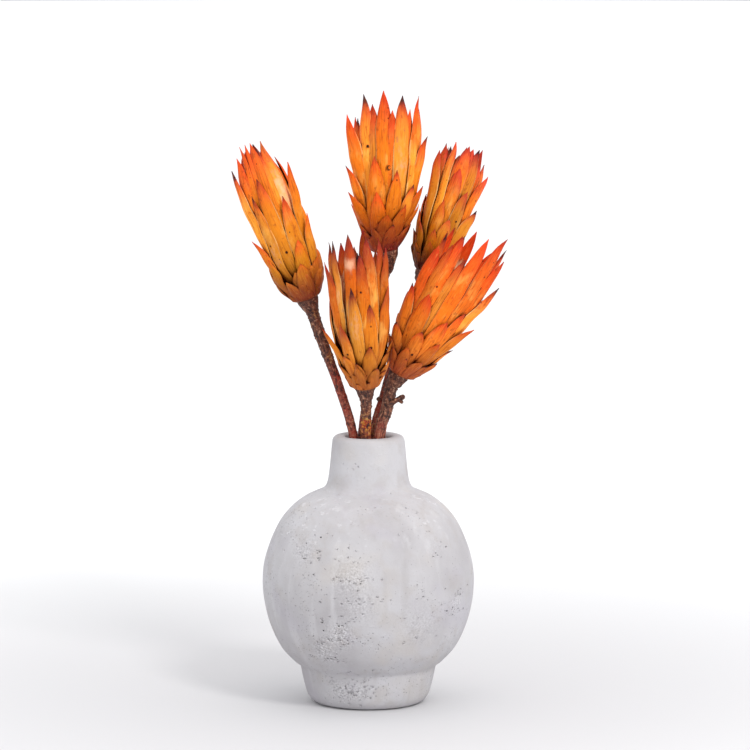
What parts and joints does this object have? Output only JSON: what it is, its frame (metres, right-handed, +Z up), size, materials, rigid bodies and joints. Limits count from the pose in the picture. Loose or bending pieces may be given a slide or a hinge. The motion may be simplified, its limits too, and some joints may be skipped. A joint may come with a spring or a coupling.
{
  "type": "dried protea flowers in a vase",
  "caption": "Dried orange protea flower heads on woody stems, standing in a pale concrete globe vase with a short tapered neck and a round foot.",
  "frame": {"origin": "centre of the vase's flat bottom", "axes": "+Z up along the vase's axis; +X to the right as seen from the front; -Y towards the front"},
  "size_m": [0.1689, 0.13, 0.3759],
  "materials": {
    "concrete": "matte",
    "bark": "matte",
    "bract_scales": "satin",
    "bract_outer": "satin",
    "bract_inner": "satin",
    "florets": "matte"
  },
  "bodies": {
    "root": {"vase": "concrete", "corner_stem": "bark", "corner_bracts_1": "bract_scales", "corner_bracts_2": "bract_scales", "corner_bracts_3": "bract_outer", "corner_bracts_4": "bract_outer", "corner_bracts_5": "bract_inner", "corner_bracts_6": "bract_inner", "corner_florets": "florets", "front_stem": "bark", "front_bracts_1": "bract_scales", "front_bracts_2": "bract_scales", "front_bracts_3": "bract_outer", "front_bracts_4": "bract_outer", "front_bracts_5": "bract_inner", "front_bracts_6": "bract_inner", "front_florets": "florets", "left_stem": "bark", "left_bracts_1": "bract_scales", "left_bracts_2": "bract_scales", "left_bracts_3": "bract_outer", "left_bracts_4": "bract_outer", "left_bracts_5": "bract_inner", "left_bracts_6": "bract_inner", "left_florets": "florets", "right_stem": "bark", "right_bracts_1": "bract_scales", "right_bracts_2": "bract_scales", "right_bracts_3": "bract_outer", "right_bracts_4": "bract_outer", "right_bracts_5": "bract_inner", "right_bracts_6": "bract_inner", "right_florets": "florets", "top_stem": "bark", "top_bracts_1": "bract_scales", "top_bracts_2": "bract_scales", "top_bracts_3": "bract_outer", "top_bracts_4": "bract_outer", "top_bracts_5": "bract_inner", "top_bracts_6": "bract_inner", "top_florets": "florets"}
  },
  "joints": []
}
